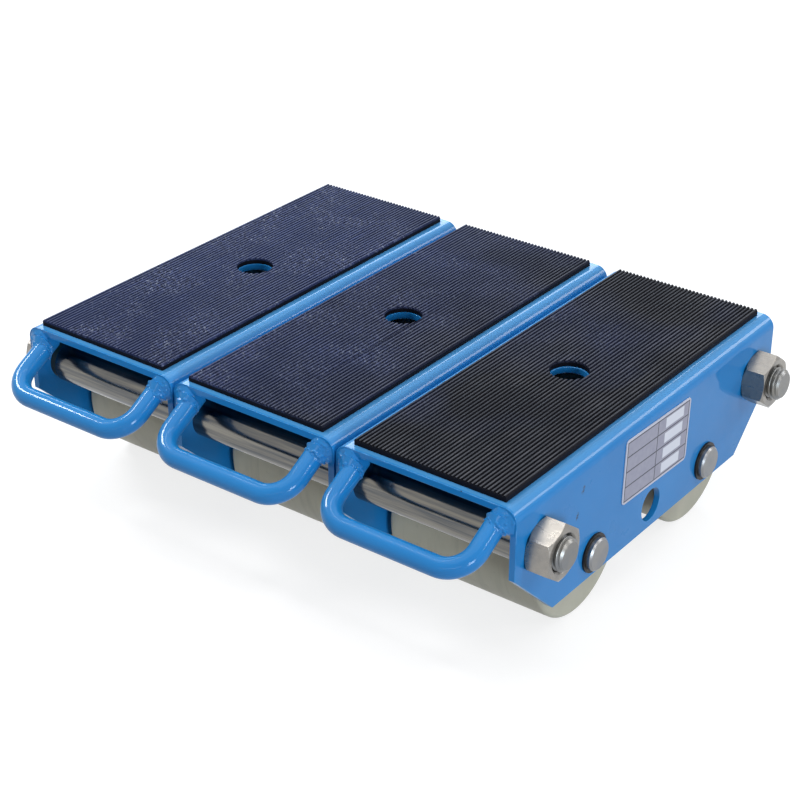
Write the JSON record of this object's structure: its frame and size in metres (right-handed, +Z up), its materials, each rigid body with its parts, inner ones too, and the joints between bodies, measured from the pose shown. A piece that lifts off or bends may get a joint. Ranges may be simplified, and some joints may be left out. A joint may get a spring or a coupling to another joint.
{
  "type": "machine skate",
  "caption": "Low load-moving skate of side-by-side folded steel channels on tie rods, with nylon rollers, ribbed rubber pads on top and bent-bar pull handles at the front.",
  "frame": {"origin": "on the floor under the middle of the whole outline, handles included", "axes": "+X along the tie rods to the right, +Y to the rear away from the handles, +Z up"},
  "size_m": [0.4012, 0.3202, 0.1119],
  "materials": {
    "blue_paint": "gloss sky-blue paint on folded steel",
    "rubber": "fine-ribbed black rubber, dusty on the rib tops",
    "nylon": "ivory turned nylon",
    "zinc_plate": "bright zinc-plated steel",
    "yellow_zinc": "yellow-passivated zinc",
    "axle_steel": "turned and plated shaft ends",
    "bearing_steel": "ground bearing steel",
    "black_steel": "phosphated spring steel",
    "label_plate": "thin grey plate, blank ruled fields"
  },
  "bodies": {
    "frame": {"left_channel": "blue_paint", "left_handle": "blue_paint", "left_pad": "rubber", "left_front_inner_rings": "bearing_steel", "left_rear_inner_rings": "bearing_steel", "left_sleeves": "zinc_plate", "middle_channel": "blue_paint", "middle_handle": "blue_paint", "middle_pad": "rubber", "middle_front_inner_rings": "bearing_steel", "middle_rear_inner_rings": "bearing_steel", "middle_sleeves": "zinc_plate", "right_channel": "blue_paint", "right_handle": "blue_paint", "right_pad": "rubber", "right_front_inner_rings": "bearing_steel", "right_rear_inner_rings": "bearing_steel", "right_sleeves": "zinc_plate", "front_axle": "axle_steel", "rear_axle": "axle_steel", "retaining_rings": "black_steel", "distance_rings": "zinc_plate", "bearing_spacer_tubes": "zinc_plate", "module_washers": "zinc_plate", "packing_rings": "yellow_zinc", "front_tie_rod": "zinc_plate", "rear_tie_rod": "zinc_plate", "tie_nuts": "zinc_plate", "rating_plate": "label_plate"},
    "left_front_wheel": {"left_front_roller": "nylon", "left_front_outer_rings": "bearing_steel", "left_front_balls": "bearing_steel", "left_front_shields": "bearing_steel"},
    "left_rear_wheel": {"left_rear_roller": "nylon", "left_rear_outer_rings": "bearing_steel", "left_rear_balls": "bearing_steel", "left_rear_shields": "bearing_steel"},
    "middle_front_wheel": {"middle_front_roller": "nylon", "middle_front_outer_rings": "bearing_steel", "middle_front_balls": "bearing_steel", "middle_front_shields": "bearing_steel"},
    "middle_rear_wheel": {"middle_rear_roller": "nylon", "middle_rear_outer_rings": "bearing_steel", "middle_rear_balls": "bearing_steel", "middle_rear_shields": "bearing_steel"},
    "right_front_wheel": {"right_front_roller": "nylon", "right_front_outer_rings": "bearing_steel", "right_front_balls": "bearing_steel", "right_front_shields": "bearing_steel"},
    "right_rear_wheel": {"right_rear_roller": "nylon", "right_rear_outer_rings": "bearing_steel", "right_rear_balls": "bearing_steel", "right_rear_shields": "bearing_steel"}
  },
  "joints": [
    {"name": "left_front_roll", "type": "hinge", "parent": "frame", "child": "left_front_wheel", "pos_m": [-0.12, -0.04517, 0.0425], "axis": [1, 0, 0], "continuous": true},
    {"name": "left_rear_roll", "type": "hinge", "parent": "frame", "child": "left_rear_wheel", "pos_m": [-0.12, 0.08082, 0.0425], "axis": [1, 0, 0], "continuous": true},
    {"name": "middle_front_roll", "type": "hinge", "parent": "frame", "child": "middle_front_wheel", "pos_m": [0, -0.04517, 0.0425], "axis": [1, 0, 0], "continuous": true},
    {"name": "middle_rear_roll", "type": "hinge", "parent": "frame", "child": "middle_rear_wheel", "pos_m": [0, 0.08082, 0.0425], "axis": [1, 0, 0], "continuous": true},
    {"name": "right_front_roll", "type": "hinge", "parent": "frame", "child": "right_front_wheel", "pos_m": [0.12, -0.04517, 0.0425], "axis": [1, 0, 0], "continuous": true},
    {"name": "right_rear_roll", "type": "hinge", "parent": "frame", "child": "right_rear_wheel", "pos_m": [0.12, 0.08082, 0.0425], "axis": [1, 0, 0], "continuous": true}
  ]
}
